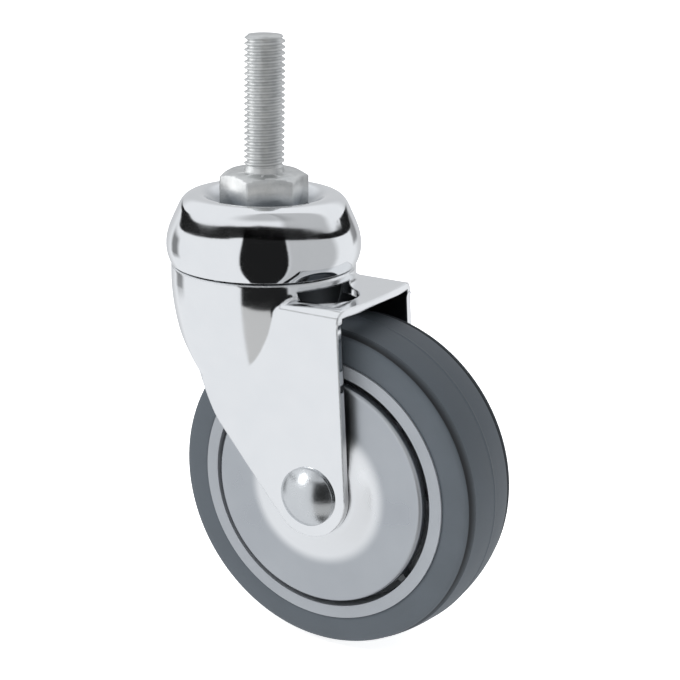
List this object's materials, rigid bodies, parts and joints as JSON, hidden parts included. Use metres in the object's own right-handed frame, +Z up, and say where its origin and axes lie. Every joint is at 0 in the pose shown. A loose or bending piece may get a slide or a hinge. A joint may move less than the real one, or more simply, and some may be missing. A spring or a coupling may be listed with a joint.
{
  "type": "swivel castor",
  "caption": "Swivel castor with a threaded stem, polished cap and pressed fork, rubber-tyred wheel with thread guards, turning freely on ball bearings.",
  "frame": {"origin": "centre of the hexagon's top face, on the swivel axis", "axes": "+Z up the threaded stem, +X towards the trailing side where the wheel sits, Y along the wheel's axle"},
  "size_m": [0.1089, 0.0596, 0.1796],
  "materials": {
    "zinc_stem": "dull zinc plate over rolled thread",
    "polished_chrome": "polished bright plate",
    "zinc_guard": "bright zinc plate, spun",
    "bearing_steel": "ground and polished",
    "race_steel": "pressed and hardened",
    "grey_core": "moulded polypropylene",
    "grey_rubber": "moulded non-marking rubber",
    "axle_zinc": "cold headed, zinc plated",
    "nylon_ring": "moulded nylon"
  },
  "bodies": {
    "stem_head": {"threaded_stem": "zinc_stem", "swivel_cap": "polished_chrome", "upper_race": "race_steel", "lower_race": "race_steel", "clamp_washer": "axle_zinc"},
    "upper_ball_row": {"upper_balls": "bearing_steel"},
    "lower_ball_row": {"lower_balls": "bearing_steel"},
    "fork": {"fork": "polished_chrome", "axle_bolt": "axle_zinc", "axle_sleeve": "axle_zinc", "axle_washer": "axle_zinc", "axle_nut": "axle_zinc", "nut_insert": "nylon_ring", "middle_spacer": "axle_zinc", "near_thread_guard": "zinc_guard", "far_thread_guard": "zinc_guard", "near_inner_race": "bearing_steel", "far_inner_race": "bearing_steel", "near_end_spacer": "axle_zinc", "far_end_spacer": "axle_zinc"},
    "bearing_cages": {"near_bearing_balls": "bearing_steel", "far_bearing_balls": "bearing_steel", "near_ball_cage": "race_steel", "far_ball_cage": "race_steel"},
    "wheel": {"wheel_core": "grey_core", "tyre": "grey_rubber", "near_outer_race": "bearing_steel", "far_outer_race": "bearing_steel"}
  },
  "joints": [
    {"name": "fork_swivel", "type": "hinge", "parent": "stem_head", "child": "fork", "pos_m": [0, 0, -0.03], "axis": [0, 0, 1], "continuous": true},
    {"name": "upper_row_orbit", "type": "hinge", "parent": "stem_head", "child": "upper_ball_row", "pos_m": [0, 0, -0.025], "axis": [0, 0, 1], "continuous": true},
    {"name": "lower_row_orbit", "type": "hinge", "parent": "stem_head", "child": "lower_ball_row", "pos_m": [0, 0, -0.03], "axis": [0, 0, 1], "continuous": true},
    {"name": "wheel_spin", "type": "hinge", "parent": "fork", "child": "wheel", "pos_m": [0.0296, 0, -0.0895], "axis": [0, 1, 0], "continuous": true},
    {"name": "cage_orbit", "type": "hinge", "parent": "fork", "child": "bearing_cages", "pos_m": [0.0296, 0, -0.0895], "axis": [0, 1, 0], "continuous": true}
  ],
  "couplings": [
    {"joint": "upper_row_orbit", "follows": "fork_swivel", "ratio": 0.5},
    {"joint": "lower_row_orbit", "follows": "fork_swivel", "ratio": 0.5},
    {"joint": "cage_orbit", "follows": "wheel_spin", "ratio": 0.6188}
  ]
}
